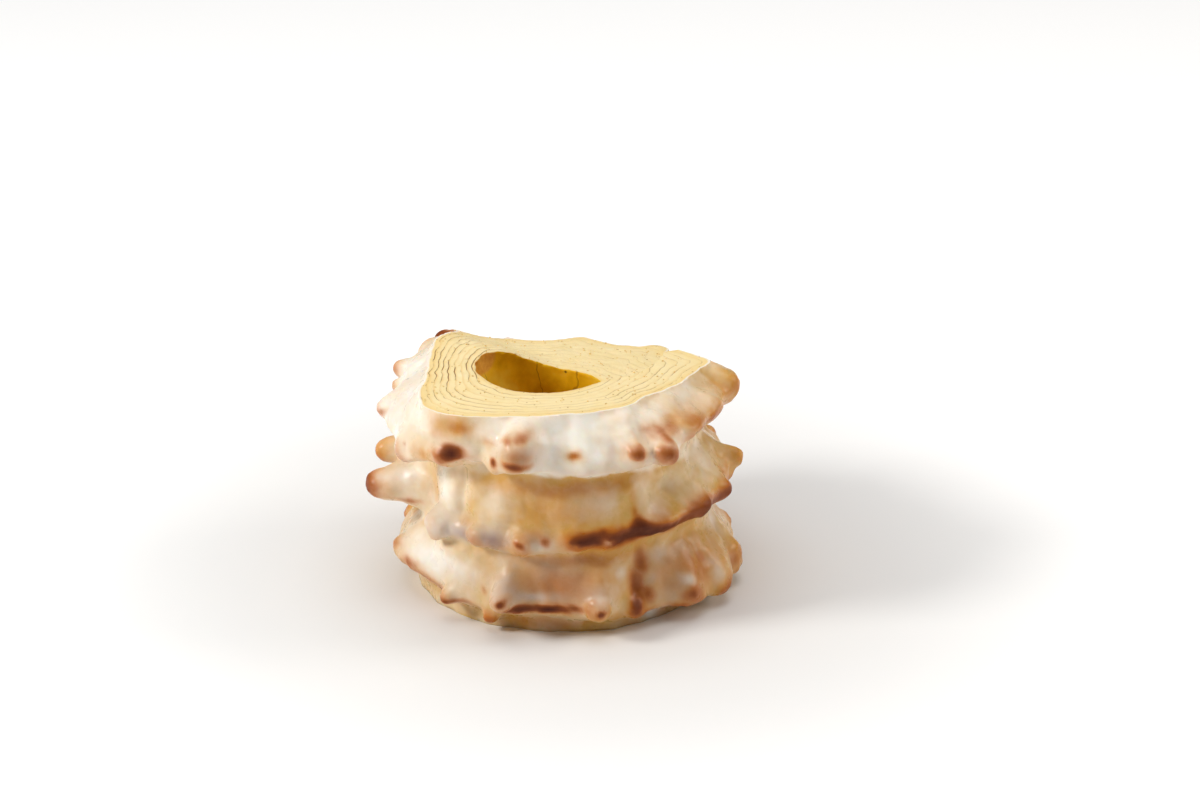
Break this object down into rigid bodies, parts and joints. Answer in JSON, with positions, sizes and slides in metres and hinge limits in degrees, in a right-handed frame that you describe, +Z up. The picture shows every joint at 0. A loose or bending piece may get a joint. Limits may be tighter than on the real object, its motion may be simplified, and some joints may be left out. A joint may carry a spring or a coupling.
{
  "type": "spit cake ring",
  "caption": "Glazed ring cake baked in layers on a spit: stacked tiers with drooping rims and batter knobs, a straight hole through the middle, a level cut top and a slanting slice taken off.",
  "frame": {"origin": "on the flat base, under the middle of the cake's box", "axes": "+Z up, -Y the side that the picture shows, +X to that side's right"},
  "size_m": [0.2064, 0.199, 0.124],
  "materials": {
    "cake": "sugar glaze over a browned crust, with pale layered crumb at the cuts"
  },
  "bodies": {
    "root": {"cake": "cake"}
  },
  "joints": []
}
